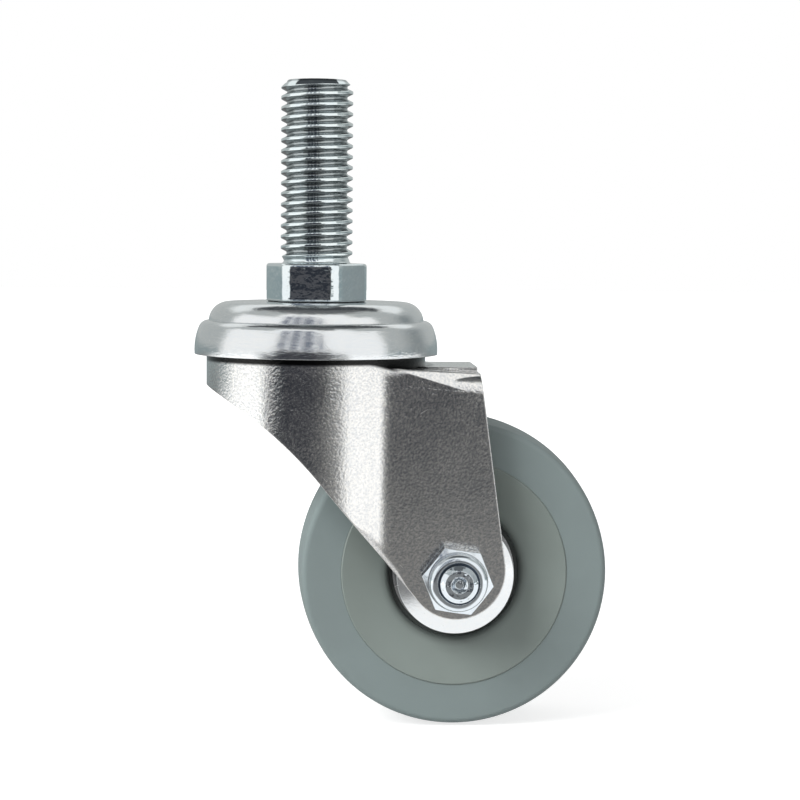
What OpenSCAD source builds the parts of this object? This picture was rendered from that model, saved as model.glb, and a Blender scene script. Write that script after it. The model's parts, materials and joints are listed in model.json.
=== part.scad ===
// Threaded stem castor: a bolt-in stem carries a ball-bearing swivel, a pressed fork and a grey wheel.
// The stem points up +Z, the wheel trails towards +X and the lock nut of the axle is on the -Y side.
// The origin is on the swivel axis, on the seating face of the hex collar.

/* [Stem] */
// Outside diameter of the threaded stem
stem_d = 12; // [8:0.5:14]
// Length of the threaded stem above the seating face
stem_len = 30; // [15:1:60]
// Chamfer at the free end of the stem
stem_chamfer = 1.3; // [0.3:0.1:2]
// Pitch of the stem's thread, which is drawn as rings
thread_pitch = 1.75; // [1.25:0.25:2]
// Depth of the stem's thread
thread_depth = 0.95; // [0.6:0.05:1.2]
// Plain length between the seating face and the thread
thread_neck = 1.3; // [0.5:0.1:3]
// Hex collar, across flats
hex_af = 15.2; // [14:0.1:22]
// Height of the hex collar
hex_h = 6.3; // [4:0.1:10]
// How far the hex collar is turned from square, in degrees
hex_turn = 8.6; // [0:0.1:30]
// Rounding of the hex collar's upright corners
hex_round = 1.5; // [0.5:0.1:3]
// Diameter of the king pin below the collar
pin_d = 10; // [8:0.5:12]
// Diameter of the neck that is riveted over
rivet_neck_d = 8; // [5:0.5:9]
// Diameter of the riveted head
rivet_d = 13; // [11:0.5:16]
// Height of the riveted head
rivet_h = 1.7; // [1:0.1:3]
// How far the turned-off ends of the hex collar lie inside its flats
hex_bevel = 0.5; // [0:0.05:0.8]

/* [Bearing cap] */
// Diameter of the cap at its rim
cap_rim_d = 40.2; // [36:0.2:50]
// Height of the cap
cap_h = 8.6; // [7.5:0.1:12]
// Sheet thickness of the cap
cap_t = 1.2; // [0.8:0.1:1.5]
// How far the lower tier stands out past the upper one
cap_step_w = 2.35; // [1.8:0.05:3]
// Radius of the lower tier's rounded shoulder
cap_shoulder_r = 1.6; // [1.6:0.1:2.2]
// Radius of the bowed wall of the lower tier
cap_bow_r = 10; // [8:0.5:14]
// Height of the widest point of the bowed wall above the rim
cap_bow_h = 0.7; // [0.2:0.1:1.2]

/* [Swivel bearing] */
// Diameter of the upper balls
upper_ball_d = 3.97; // [3:0.01:4.8]
// Diameter of the lower balls
lower_ball_d = 3.97; // [3:0.01:4.8]
// Outside diameter of the lower race
lower_race_d = 24; // [22:0.5:28]
// Thickness of the lower race
lower_race_t = 2.2; // [1.6:0.1:3]
// Width of the lower race outside its groove
lower_race_edge = 1.5; // [1:0.1:2]
// Depth of the ball grooves of the swivel
swivel_groove = 0.6; // [0.3:0.05:0.8]

/* [Fork] */
// Sheet thickness of the fork
fork_t = 2; // [1.5:0.1:2.5]
// Distance that the axle trails behind the swivel axis
trail = 22.6; // [18:0.1:28]
// Distance from the swivel axis to the rear edge of the crown
crown_rear = 26.2; // [23:0.1:32]
// Inside radius of the bend between crown and leg
bend_in_r = 1; // [0.3:0.1:2]
// Where the bend starts to open behind the drum, measured from the swivel axis
bend_start = 12.2; // [11.5:0.1:14]
// How steeply the bend opens down the leg, in degrees
bend_opening = 13; // [8:1:20]
// How far the opening bend faces upwards, in degrees
bend_facing = 28; // [20:1:45]
// Inside radius of the drum's top edge
drum_edge_in_r = 0.3; // [0.2:0.1:1]
// Slope of the crown's shoulders down to the rear, in degrees
crown_tilt = 3.7; // [0:0.1:6]
// Where the shoulders start to slope, measured from the swivel axis
crown_hinge = 14.5; // [12:0.1:16]
// Radius of the hollow blend between drum and leg
crease_r = 5; // [2:0.5:6]
// Width of the level pad on the rear crown
pad_w = 16; // [10:0.5:20]
// Depth of the skirt at the very front, below the rear crown
skirt_drop = 3.3; // [2:0.05:5]
// Where the front edge turns straight: distance behind the swivel axis
edge_break_x = 0.4; // [-2:0.1:3]
// Where the front edge turns straight: depth below the rear crown
edge_break_drop = 17.9; // [16:0.05:20]
// Radius of the rounded lug at the axle
lug_r = 7.9; // [7:0.1:9]
// How far the centre of the lug's arc lies above the axle
lug_rise = 1.2; // [0:0.1:2]

/* [Wheel] */
// Diameter of the wheel over the tyre
wheel_d = 50.8; // [44:0.1:58]
// Width of the tyre
tread_w = 18.6; // [16:0.1:22]
// How much lower the tread is at its edges than in its middle
tread_drop = 0.6; // [0.2:0.05:1]
// Radius of the tyre's shoulder
shoulder_r = 1; // [0.4:0.1:1.5]
// Diameter where tyre and core meet
core_d = 36.9; // [32:0.1:40]
// How far the core's rim stands proud of the tyre's side
core_proud = 0.2; // [0.1:0.05:0.5]
// Height of the rib that locks the tyre to the core
lock_rib_h = 1.2; // [0.5:0.1:2]
// Width of the rib that locks the tyre to the core
lock_rib_w = 6; // [3:0.5:8]
// How far the core's face is dished in at the hub
dish_depth = 1.2; // [0.4:0.1:1.6]
// Width of the rounded lip round the hub recess
hub_lip = 1; // [0.6:0.1:1.4]
// Depth of the hub recess below the dished face
hub_recess = 1.3; // [1.1:0.1:2]

/* [Wheel bearings] */
// Diameter of the wheel bearing balls
wheel_ball_d = 3.175; // [2.5:0.005:3.6]
// Outside diameter of the outer races
cup_d = 20; // [19:0.1:22]
// Width of the outer races
cup_w = 4; // [3.8:0.1:5]
// Wall of the outer races behind the balls
cup_wall = 0.9; // [0.6:0.1:1.2]
// Height of the open gap between the races, on each side of the balls' circle
race_gap = 0.8; // [0.5:0.05:1.1]
// Diameter of the inner races' collars that bear on the covers
cone_collar_d = 12.6; // [11:0.1:14]
// Diameter of the sleeve round the axle bolt
sleeve_d = 9; // [8.5:0.1:10]
// Diameter of the cover discs
cover_d = 19; // [17:0.1:20]
// Thickness of the cover discs
cover_t = 0.8; // [0.5:0.05:1.2]
// Diameter of the cover discs' flat middle
cover_flat_d = 13; // [12.8:0.1:16]
// Slope of the cover discs' coned rim, in degrees
cover_slope = 20; // [0:1:25]

/* [Axle] */
// Diameter of the axle bolt
axle_d = 6; // [5:0.1:6.5]
// Bolt head and lock nut, across flats
nut_af = 10; // [9:0.1:11]
// Height of the bolt head
head_h = 4; // [3:0.1:5]
// Height of the hex part of the lock nut
nut_hex_h = 3.8; // [3:0.1:5]
// Height of the lock nut's round collar
nut_collar_h = 2.1; // [1.6:0.1:3]
// Wall of the lock nut's collar round the nylon ring
nut_collar_wall = 0.85; // [0.5:0.05:1]
// Rounding of the lock nut's collar
nut_collar_edge = 1; // [0.5:0.1:1.5]
// How far the turned-off ends of nut and bolt head lie inside their flats
nut_bevel = 0.2; // [0:0.05:0.5]
// Thickness of the nut's crimped mouth
crimp_t = 0.4; // [0.2:0.05:0.5]
// Wall of the nylon ring
insert_w = 0.75; // [0.6:0.05:1]
// Height of the nylon ring
insert_h = 1.4; // [1:0.1:1.5]
// How far the bolt's tip stands out of the lock nut
tip_len = 1.4; // [0.8:0.1:3]
// Bevel of the bolt's tip
tip_bevel = 0.75; // [0.3:0.05:1]
// Diameter of the dimple in the bolt's tip
tip_dimple_d = 2.7; // [1:0.1:3]
// Depth of the dimple in the bolt's tip
tip_dimple_h = 0.7; // [0.3:0.1:1.2]
// How far the lock nut is turned from square, in degrees
nut_turn = 8.3; // [0:0.1:30]

/* [Clearances] */
// Play of a ball in its grooves
ball_play = 0.06; // [0.03:0.01:0.1]
// Play of a piece that is pressed or clamped on another
seat_play = 0.02; // [0.01:0.01:0.05]
// Play of the axle bolt in the legs, covers and sleeve
bolt_play = 0.1; // [0.05:0.01:0.2]
// Gap round the king pin in the fork crown
pin_gap = 0.8; // [0.4:0.1:1.2]
// Gap between the fork's drum and the cap's rim
rim_gap = 0.8; // [0.4:0.05:1]
// Gap between the fork's drum and the step of the cap
step_gap = 0.4; // [0.3:0.05:0.8]
// Gap between the cap's rim and the level pad of the rear crown
crown_gap = 1.7; // [1:0.05:3]
// Gap between the wheel and the crown above it
wheel_top_gap = 6.16; // [5.6:0.01:10]
// Gap between the tyre's side and the leg
wheel_side_gap = 3.6; // [2.8:0.05:4.5]
// Gap between the hub recess and the outer race's rim
recess_gap = 0.6; // [0.3:0.05:1]

/* [Hidden] */
$fn = 64;

// Small overlap that makes cuts run clean through
cut = 1;
// Hair's breadth by which an arc overlaps the straight edge that runs into it
hair = 0.02;
steel = "silver";
bright = "gainsboro";
ball_steel = "lightgray";

// Thread of the stem
stem_r = stem_d / 2;
thread_rings = floor((stem_len - stem_chamfer - thread_neck) / thread_pitch);

// Heights along the swivel axis, from the cap down
upper_groove_r = upper_ball_d / 2 + ball_play;
lower_groove_r = lower_ball_d / 2 + ball_play;
cap_top = -hex_h;
cap_bottom = cap_top - cap_h;
cap_under = cap_top - cap_t;
upper_ball_z = cap_under - upper_groove_r;
drum_top = upper_ball_z - upper_groove_r + swivel_groove;
drum_under = drum_top - fork_t;
step_top = drum_top + step_gap + cap_t;
lower_ball_z = drum_under + swivel_groove - lower_groove_r;
race_top = lower_ball_z - lower_groove_r + swivel_groove;
race_bottom = race_top - lower_race_t;
crown_top = cap_bottom - crown_gap;
crown_under = crown_top - fork_t;

// Radii of the swivel
rim_r = cap_rim_d / 2;
tier_r = rim_r - cap_step_w;
upper_ring_r = tier_r - cap_t - upper_groove_r;
lower_ring_r = lower_race_d / 2 - lower_race_edge - lower_groove_r;
drum_r = rim_r - cap_t - rim_gap;
pin_r = pin_d / 2;
pin_hole_r = pin_r + pin_gap;

// Wheel and axle, measured from the wheel's middle plane along the axle
wheel_r = wheel_d / 2;
core_r = core_d / 2;
axle_z = crown_under - wheel_top_gap - wheel_r;
leg_in = tread_w / 2 + wheel_side_gap;
leg_out = leg_in + fork_t;
core_face = tread_w / 2 + core_proud;
dish_face = core_face - dish_depth;
cup_out = dish_face - hub_recess;
cup_in = cup_out - cup_w;
recess_r = cup_d / 2 + recess_gap;
cover_in = leg_in - cover_t;
sleeve_r = sleeve_d / 2;
axle_hole_r = axle_d / 2 + bolt_play;
wheel_groove_r = wheel_ball_d / 2 + ball_play;
wheel_ring_r = cup_d / 2 - cup_wall - wheel_groove_r;
wheel_ball_y = (cup_in + cup_out) / 2;
insert_d = axle_d + 2 * insert_w;
nut_top = leg_out + nut_hex_h + nut_collar_h;
tip_end = nut_top + tip_len;

// Side outline of the fork, x along the trail and y up
lug_c = [trail, axle_z + lug_rise];
rear_top = [crown_rear, crown_top];
edge_break = [edge_break_x, crown_top - edge_break_drop];
skirt_end = [-drum_r, crown_top - skirt_drop];
// Lowest and rearmost reach of the untrimmed fork
fork_bottom = axle_z - lug_r - cut;
fork_rear = max(crown_rear, trail + lug_r) + crown_hinge;

// Point where a line from p touches a circle at c with radius r; side picks one of the two
function touch(p, c, r, side) =
    let (d = p - c, turn = side * acos(r / norm(d)), way = atan2(d.y, d.x) + turn)
    c + r * [cos(way), sin(way)];

rear_touch = touch(rear_top, lug_c, lug_r, -1);
front_touch = touch(edge_break, lug_c, lug_r, 1);
front_way = (edge_break - front_touch) / norm(edge_break - front_touch);
front_out = [-front_way.y, front_way.x];
// Circle that leaves the straight front edge smoothly and passes through the skirt's end
skirt_chord = skirt_end - edge_break;
front_arc_r = (skirt_chord * skirt_chord) / (2 * (front_out * skirt_chord));
front_arc_c = edge_break + front_arc_r * front_out;

// Number of balls that fit on a ring, with some room left over
function ball_count(ring_r, ball_d) = floor(180 / asin(ball_d / 2 / ring_r)) - 1;

// Frame of the axle: z points to the near side, x along the trail and y up
module on_axle() {
    translate([trail, 0, axle_z]) rotate([90, 0, 0]) children();
}

// Half section of a round block with a rounded top edge
module tier(r, top, bottom, edge) {
    translate([0, bottom]) square([r, top - bottom - edge]);
    translate([0, top - 2 * edge]) square([r - edge, 2 * edge]);
    translate([r - edge, top - edge]) circle(edge);
}

// Ring of balls round the z axis
module ball_ring(ring_r, ball_d, height) {
    count = ball_count(ring_r, ball_d);
    for (i = [0 : count - 1]) {
        rotate(i * 360 / count) translate([ring_r, 0, height]) sphere(d = ball_d);
    }
}

// Ring-shaped groove that balls run in
module groove(ring_r, groove_r, height) {
    rotate_extrude() translate([ring_r, height]) circle(groove_r);
}

// Hexagon from z = 0 up, its corners turned off at thirty degrees at the top and, if asked, at the bottom
module chamfered_hex(af, h, bevel, both_ends) {
    corner_r = af / sqrt(3);
    wide = corner_r + cut;
    flat_r = af / 2 - bevel;
    fall = (wide - flat_r) * tan(30);
    intersection() {
        cylinder(r = corner_r, h = h, $fn = 6);
        rotate_extrude() polygon([
            [0, 0], [both_ends ? flat_r : wide, 0], [wide, both_ends ? fall : 0],
            [wide, h - fall], [flat_r, h], [0, h]]);
    }
}

// Tips of an upright hexagon's corners, outside their rounding
module hex_tips(af, h, rounding) {
    reach = 2 * rounding;
    centre_r = af / sqrt(3) - rounding / cos(30);
    for (i = [0 : 5]) rotate(60 * i) translate([centre_r, 0, -cut]) {
        linear_extrude(h + 2 * cut) difference() {
            polygon([[0, 0], reach * [cos(30), -sin(30)], reach * [cos(30), sin(30)]]);
            circle(rounding + hair);
        }
    }
}

// Half section of one groove of the stem's thread, seen from the crest
module thread_groove() {
    root = thread_pitch / 8;
    mouth = root + (thread_depth + cut) * tan(30);
    polygon([[-thread_depth, -root], [cut, -mouth], [cut, mouth], [-thread_depth, root]]);
}

module stem() {
    neck_r = rivet_neck_d / 2;
    color(steel) {
        translate([0, 0, -hex_h]) rotate(-hex_turn) difference() {
            chamfered_hex(hex_af, hex_h, hex_bevel, true);
            hex_tips(hex_af, hex_h, hex_round);
        }
        rotate_extrude() difference() {
            polygon([
                [0, race_bottom - rivet_h], [rivet_d / 2 - rivet_h, race_bottom - rivet_h],
                [rivet_d / 2, race_bottom], [neck_r, race_bottom], [neck_r, race_top], [pin_r, race_top],
                [pin_r, -hex_h / 2], [stem_r, -hex_h / 2], [stem_r, stem_len - stem_chamfer],
                [stem_r - stem_chamfer, stem_len], [0, stem_len]]);
            for (i = [1 : thread_rings]) {
                translate([stem_r, thread_neck + (i - 0.5) * thread_pitch]) thread_groove();
            }
        }
    }
}

// Half section of the cap's outside, or of its hollow when inset by the sheet
module cap_section(inset) {
    bottom = cap_bottom - inset;
    bow_c = [rim_r - cap_bow_r, cap_bottom + cap_bow_h];
    shoulder_z = step_top - cap_shoulder_r;
    shoulder_x = bow_c.x + sqrt(pow(cap_bow_r - cap_shoulder_r, 2) - pow(shoulder_z - bow_c.y, 2));
    shoulder_c = [shoulder_x, shoulder_z];
    way = (shoulder_c - bow_c) / norm(shoulder_c - bow_c);
    join_z = (bow_c + cap_bow_r * way).y;
    tier(tier_r - inset, cap_top - inset, shoulder_z, upper_groove_r + cap_t - inset);
    translate([0, bottom]) square([shoulder_x, step_top - inset - bottom]);
    translate(shoulder_c) circle(cap_shoulder_r - inset);
    intersection() {
        translate(bow_c) circle(cap_bow_r - inset, $fn = 180);
        translate([0, bottom]) square([rim_r, join_z - inset * way.y - bottom]);
    }
}

module bearing_cap() {
    color(bright) rotate_extrude() difference() {
        cap_section(0);
        cap_section(cap_t);
        translate([0, cap_under - cut]) square([pin_r + seat_play, cap_t + 2 * cut]);
    }
}

module upper_balls() {
    color(ball_steel) ball_ring(upper_ring_r, upper_ball_d, upper_ball_z);
}

module lower_balls() {
    color(ball_steel) ball_ring(lower_ring_r, lower_ball_d, lower_ball_z);
}

module lower_race() {
    color(steel) difference() {
        translate([0, 0, race_bottom]) cylinder(d = lower_race_d, h = lower_race_t);
        groove(lower_ring_r, lower_groove_r, lower_ball_z);
        translate([0, 0, race_bottom - cut]) cylinder(d = rivet_neck_d + 2 * seat_play, h = lower_race_t + 2 * cut);
    }
}

// Block with the fork's side outline, which trims the pressed form
module fork_outline() {
    above = drum_top + cut;
    ahead = -drum_r - cut;
    width = 2 * (drum_r + cut);
    rotate([90, 0, 0]) difference() {
        union() {
            linear_extrude(width, center = true) polygon([
                [ahead, above], [crown_rear, above], rear_top, rear_touch, front_touch,
                edge_break + hair * front_out, [ahead, edge_break.y]]);
            translate(lug_c) cylinder(r = lug_r + hair, h = width, center = true);
        }
        translate(front_arc_c) cylinder(r = front_arc_r, h = width + 2 * cut, center = true, $fn = 256);
    }
}

// Bent-over channel of crown and legs that runs back from the swivel axis, its crown sloping to the rear
module channel(half_w, drop, edge) {
    depth = crown_top - fork_bottom;
    translate([crown_hinge, 0, crown_top]) rotate([0, crown_tilt, 0]) translate([-crown_hinge, 0, -drop]) {
        rotate([90, 0, 90]) linear_extrude(fork_rear) {
            translate([-half_w, -depth]) square([2 * half_w, depth - edge]);
            translate([edge - half_w, -depth]) square([2 * (half_w - edge), depth]);
            for (side = [-1, 1]) translate([side * (half_w - edge), -edge]) circle(edge);
        }
    }
}

// Sharp corners of the channel next to the drum, which open at a slant into its rounded bends
module bend_run_out() {
    size = 4 * fork_rear;
    turn = atan(tan(bend_opening) * sin(bend_facing));
    translate([crown_hinge, 0, crown_top]) rotate([0, crown_tilt, 0]) translate([-crown_hinge, 0, 0]) {
        for (side = [0, 1]) mirror([0, side, 0]) intersection() {
            translate([0, 0, fork_bottom - crown_top]) {
                cube([fork_rear, leg_out - hair / 2, crown_top - fork_bottom - hair / 2]);
            }
            translate([bend_start, leg_out, 0]) rotate([bend_facing - 90, 0, 0]) rotate([0, turn, 0]) {
                translate([-size / 2, -size / 2, -size]) cube(size);
            }
        }
    }
}

// Upright blend that fills the corner between the drum and both legs, up to the crown
module crease_blend(drum, half_w, top, blend) {
    blend_c = [sqrt(pow(drum + blend, 2) - pow(half_w + blend, 2)), half_w + blend];
    drum_touch = blend_c * drum / (drum + blend);
    for (side = [0, 1]) mirror([0, side, 0]) {
        translate([0, 0, fork_bottom]) linear_extrude(top - fork_bottom) difference() {
            polygon([[0, 0], drum_touch, blend_c, [blend_c.x, 0]]);
            translate(blend_c) circle(blend + hair / 4);
        }
    }
}

// Outside of the pressed sheet, or its hollow when inset by the sheet
module fork_form(inset) {
    edge = bend_in_r + fork_t - inset;
    rotate_extrude() tier(drum_r - inset, drum_top - inset, fork_bottom, drum_edge_in_r + fork_t - inset);
    channel(leg_out - inset, inset, edge);
    crease_blend(drum_r - inset, leg_out - inset, inset > 0 ? crown_under - edge : crown_top, crease_r + inset);
    crown_pad(inset);
}

// Level pad on the rear crown, or its hollow side when inset by the sheet
module crown_pad(inset) {
    half = pad_w / 2 - inset;
    depth = fork_t + cut;
    translate([0, -half, crown_top - inset - depth]) cube([crown_rear + inset, 2 * half, depth]);
}

module fork() {
    color(steel) difference() {
        intersection() {
            difference() {
                union() {
                    fork_form(0);
                    bend_run_out();
                }
                fork_form(fork_t);
            }
            fork_outline();
        }
        translate([0, 0, drum_under - cut]) cylinder(r = pin_hole_r, h = fork_t + 2 * cut);
        groove(upper_ring_r, upper_groove_r, upper_ball_z);
        groove(lower_ring_r, lower_groove_r, lower_ball_z);
        on_axle() cylinder(r = axle_hole_r, h = 2 * leg_out + 2 * cut, center = true);
    }
}

module axle_bolt() {
    axle_r = axle_d / 2;
    dimple_r = tip_dimple_d / 2;
    color(bright) on_axle() {
        translate([0, 0, -leg_out]) mirror([0, 0, 1]) chamfered_hex(nut_af, head_h, nut_bevel, false);
        rotate_extrude() polygon([
            [0, -leg_out - head_h / 2], [axle_r, -leg_out - head_h / 2], [axle_r, tip_end - tip_bevel],
            [axle_r - tip_bevel, tip_end], [dimple_r, tip_end], [dimple_r / 2, tip_end - tip_dimple_h],
            [0, tip_end - tip_dimple_h]]);
    }
}

// Half section of the lock nut's hollow: thread, seat of the nylon ring and crimped mouth
module nut_bore() {
    seat_bottom = nut_top - insert_h - crimp_t;
    translate([0, leg_out - cut]) square([axle_d / 2 + seat_play, nut_top - leg_out + 2 * cut]);
    translate([0, seat_bottom]) square([insert_d / 2 + seat_play, insert_h]);
    translate([0, seat_bottom]) square([insert_d / 2 - crimp_t, nut_top - seat_bottom + cut]);
}

module lock_nut() {
    collar_r = insert_d / 2 + nut_collar_wall;
    color(bright) on_axle() difference() {
        union() {
            translate([0, 0, leg_out]) rotate(-nut_turn) chamfered_hex(nut_af, nut_hex_h, nut_bevel, true);
            rotate_extrude() tier(collar_r, nut_top, leg_out + nut_hex_h / 2, nut_collar_edge);
        }
        rotate_extrude() nut_bore();
    }
}

module nut_insert() {
    color("dimgray") on_axle() translate([0, 0, nut_top - insert_h - crimp_t]) difference() {
        cylinder(d = insert_d, h = insert_h);
        translate([0, 0, -cut]) cylinder(d = axle_d + 2 * seat_play, h = insert_h + 2 * cut);
    }
}

module axle_sleeve() {
    color(steel) on_axle() difference() {
        cylinder(r = sleeve_r, h = 2 * cover_in, center = true);
        cylinder(r = axle_hole_r, h = 2 * cover_in + 2 * cut, center = true);
    }
}

// Places a piece of the near side of the axle on the near side (1) or the far side (-1)
module at_side(side) {
    on_axle() rotate([side > 0 ? 0 : 180, 0, 0]) children();
}

// Pressed cover: a flat middle that the leg clamps, and a rim coned back towards the wheel
module cover(side) {
    cover_r = cover_d / 2;
    flat_r = cover_flat_d / 2;
    fall = (cover_r - flat_r) * tan(cover_slope);
    color("whitesmoke") at_side(side) rotate_extrude() polygon([
        [axle_hole_r, cover_in], [flat_r, cover_in], [cover_r, cover_in - fall], [cover_r, leg_in - fall],
        [flat_r, leg_in], [axle_hole_r, leg_in]]);
}

module near_cover() {
    cover(1);
}

module far_cover() {
    cover(-1);
}

module cone(side) {
    color(steel) at_side(side) difference() {
        union() {
            translate([0, 0, cup_in]) cylinder(r = wheel_ring_r - race_gap, h = cup_w);
            translate([0, 0, cup_in]) cylinder(d = cone_collar_d, h = cover_in - cup_in);
        }
        translate([0, 0, cup_in - cut]) cylinder(r = sleeve_r + seat_play, h = cover_in - cup_in + 2 * cut);
        groove(wheel_ring_r, wheel_groove_r, wheel_ball_y);
    }
}

module near_cone() {
    cone(1);
}

module far_cone() {
    cone(-1);
}

module cup(side) {
    color(steel) at_side(side) difference() {
        translate([0, 0, cup_in]) cylinder(d = cup_d, h = cup_w);
        translate([0, 0, cup_in - cut]) cylinder(r = wheel_ring_r + race_gap, h = cup_w + 2 * cut);
        groove(wheel_ring_r, wheel_groove_r, wheel_ball_y);
    }
}

module near_cup() {
    cup(1);
}

module far_cup() {
    cup(-1);
}

module near_balls() {
    color(ball_steel) at_side(1) ball_ring(wheel_ring_r, wheel_ball_d, wheel_ball_y);
}

module far_balls() {
    color(ball_steel) at_side(-1) ball_ring(wheel_ring_r, wheel_ball_d, wheel_ball_y);
}

// Half section of one side of the core, from the middle plane outwards
module core_side() {
    rim_edge = core_proud;
    lip_r = recess_r + hub_lip;
    difference() {
        union() {
            polygon([
                [wheel_ring_r + race_gap, 0], [core_r, 0], [core_r, core_face - rim_edge],
                [core_r - rim_edge, core_face], [lip_r, dish_face], [lip_r, 0]]);
            translate([lip_r, dish_face - hub_lip]) circle(hub_lip);
            square([lip_r, dish_face - hub_lip]);
            square([core_r + lock_rib_h, lock_rib_w / 2]);
        }
        square([wheel_ring_r + race_gap, core_face]);
        translate([0, cup_in]) square([cup_d / 2 + seat_play, core_face]);
        translate([0, cup_out]) square([recess_r, core_face]);
    }
}

module wheel_core() {
    color("darkgray") on_axle() rotate_extrude() {
        core_side();
        mirror([0, 1]) core_side();
    }
}

// Half section of the tyre's outside: a crowned tread that runs into rounded shoulders
module tyre_outside() {
    half_w = tread_w / 2;
    crown_r = (pow(half_w, 2) + pow(tread_drop, 2)) / (2 * tread_drop);
    shoulder_y = half_w - shoulder_r;
    shoulder_x = wheel_r - crown_r + sqrt(pow(crown_r - shoulder_r, 2) - pow(shoulder_y, 2));
    join_y = shoulder_y * crown_r / (crown_r - shoulder_r);
    translate([0, -half_w]) square([shoulder_x, tread_w]);
    for (side = [-1, 1]) translate([shoulder_x, side * shoulder_y]) circle(shoulder_r);
    intersection() {
        translate([0, -join_y]) square([wheel_r, 2 * join_y]);
        translate([wheel_r - crown_r, 0]) circle(crown_r, $fn = 360);
    }
}

module tyre() {
    color("slategray") on_axle() rotate_extrude() difference() {
        tyre_outside();
        translate([0, -tread_w]) square([core_r + seat_play, 2 * tread_w]);
        translate([0, -lock_rib_w / 2 - seat_play]) {
            square([core_r + lock_rib_h + seat_play, lock_rib_w + 2 * seat_play]);
        }
    }
}

stem();
bearing_cap();
upper_balls();
fork();
lower_balls();
lower_race();
axle_bolt();
lock_nut();
nut_insert();
axle_sleeve();
near_cover();
far_cover();
near_cone();
far_cone();
near_cup();
far_cup();
near_balls();
far_balls();
wheel_core();
tyre();
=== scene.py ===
import json
import math

import bmesh
import bpy
from mathutils import Matrix, Vector


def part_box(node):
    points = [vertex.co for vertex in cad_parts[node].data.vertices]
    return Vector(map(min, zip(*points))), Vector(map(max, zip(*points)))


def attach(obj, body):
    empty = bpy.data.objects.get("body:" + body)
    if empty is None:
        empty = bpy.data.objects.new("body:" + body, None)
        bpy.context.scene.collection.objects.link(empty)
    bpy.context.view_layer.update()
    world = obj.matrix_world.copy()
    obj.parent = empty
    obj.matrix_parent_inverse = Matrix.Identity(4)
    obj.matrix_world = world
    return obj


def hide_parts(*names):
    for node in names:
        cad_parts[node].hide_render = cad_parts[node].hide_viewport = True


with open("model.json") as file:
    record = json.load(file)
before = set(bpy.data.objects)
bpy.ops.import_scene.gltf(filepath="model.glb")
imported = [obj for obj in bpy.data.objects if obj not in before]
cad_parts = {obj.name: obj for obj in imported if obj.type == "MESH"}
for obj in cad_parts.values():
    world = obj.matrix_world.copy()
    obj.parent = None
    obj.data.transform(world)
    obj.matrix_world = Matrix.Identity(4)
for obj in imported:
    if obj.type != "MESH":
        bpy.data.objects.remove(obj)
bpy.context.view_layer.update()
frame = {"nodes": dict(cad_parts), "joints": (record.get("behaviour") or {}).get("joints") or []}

# Stem
# One cold-formed steel piece: a rolled M12 thread, a hex collar with rounded corners below it, and the king
# pin that goes down through the swivel and is riveted over. Bright zinc plate with a cold blue-grey cast.
MM = 0.001
STEM_CREST_R = 5.92 * MM
STEM_ROOT_R = 4.98 * MM
STEM_BLANK_R = 5.4 * MM
STEM_PITCH = 1.75 * MM
STEM_CHAMFER = 1.15 * MM
STEM_FILLET = 0.55 * MM
STEM_SINK = 0.6 * MM
THREAD_STEPS = 96
ROWS_PER_PITCH = 24
SPARE_TURNS = 3
TURNS_BELOW = 2
CREST_SHARE = 0.26
ROOT_SHARE = 0.2
THREAD_SOFTNESS = 0.16 * MM
RUN_OUT = (0.35 * MM, 1.6 * MM)
HEX_ACROSS = 15.2 * MM
HEX_TURN = math.radians(8.6)
HEX_CORNER_R = 2.9 * MM
HEX_EDGE_R = 0.45 * MM
CORNER_STEPS = 10
EDGE_STEPS = 4
EDGE_MARGIN = 0.05 * MM
PIN_SINK = 0.3 * MM
WELD = 1e-6
FACE_SLACK = 10 * WELD
SHARP_ANGLE = math.radians(25)
ZINC_COLD = (0.70, 0.76, 0.78, 1.0)
COLLAR_DULL = (0.66, 0.68, 0.7)
THREAD_ZINC = (0.8, 0.86, 0.87, 1.0)
# Painted shade on the thread: on the flanks that face down, and in its roots.
UNDERSIDE = (-0.25, -0.7)
UNDERSIDE_DARKEST = 0.35
THREAD_SHADE_REACH = 0.25 * MM
THREAD_SHADE_DARKEST = 0.5
SWIVEL_CENTRE = (0.0, 0.0, 0.0)
ACROSS_SWIVEL = (1.0, 1.0, 0.0)
COLLAR_SLOT = 1


def put(tree, kind, values=None, **settings):
    """Adds a node; values go to its inputs by name or number, and a socket among them is linked."""
    made = tree.nodes.new(kind)
    for name, value in settings.items():
        setattr(made, name, value)
    for place, value in (values or {}).items():
        if isinstance(value, bpy.types.NodeSocket):
            tree.links.new(value, made.inputs[place])
        else:
            made.inputs[place].default_value = value
    return made


def sum_of(tree, operation, *values):
    """Output of a Math node."""
    return put(tree, "ShaderNodeMath", dict(enumerate(values)), operation=operation).outputs[0]


def ramp(tree, value, low, high, start=0.0, end=1.0, bend="SMOOTHSTEP"):
    """Change of a value from start at low to end at high."""
    ends = {"Value": value, "From Min": low, "From Max": high, "To Min": start, "To Max": end}
    return put(tree, "ShaderNodeMapRange", ends, interpolation_type=bend).outputs[0]


REAL_SOCKET = "NodeSocketFloat"
VECTOR_SOCKET = "NodeSocketVector"


def new_tree(name, kind, inputs, outputs):
    """Node group with named sockets, given as (name, socket type, default value)."""
    tree = bpy.data.node_groups.new(name, kind)
    for way, sockets in (("INPUT", inputs), ("OUTPUT", outputs)):
        for label, socket_type, default in sockets:
            made = tree.interface.new_socket(name=label, in_out=way, socket_type=socket_type)
            if default is not None:
                made.default_value = default
    ends = tree.nodes.new("NodeGroupInput"), tree.nodes.new("NodeGroupOutput")
    return tree, ends[0].outputs, ends[1].inputs


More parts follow.
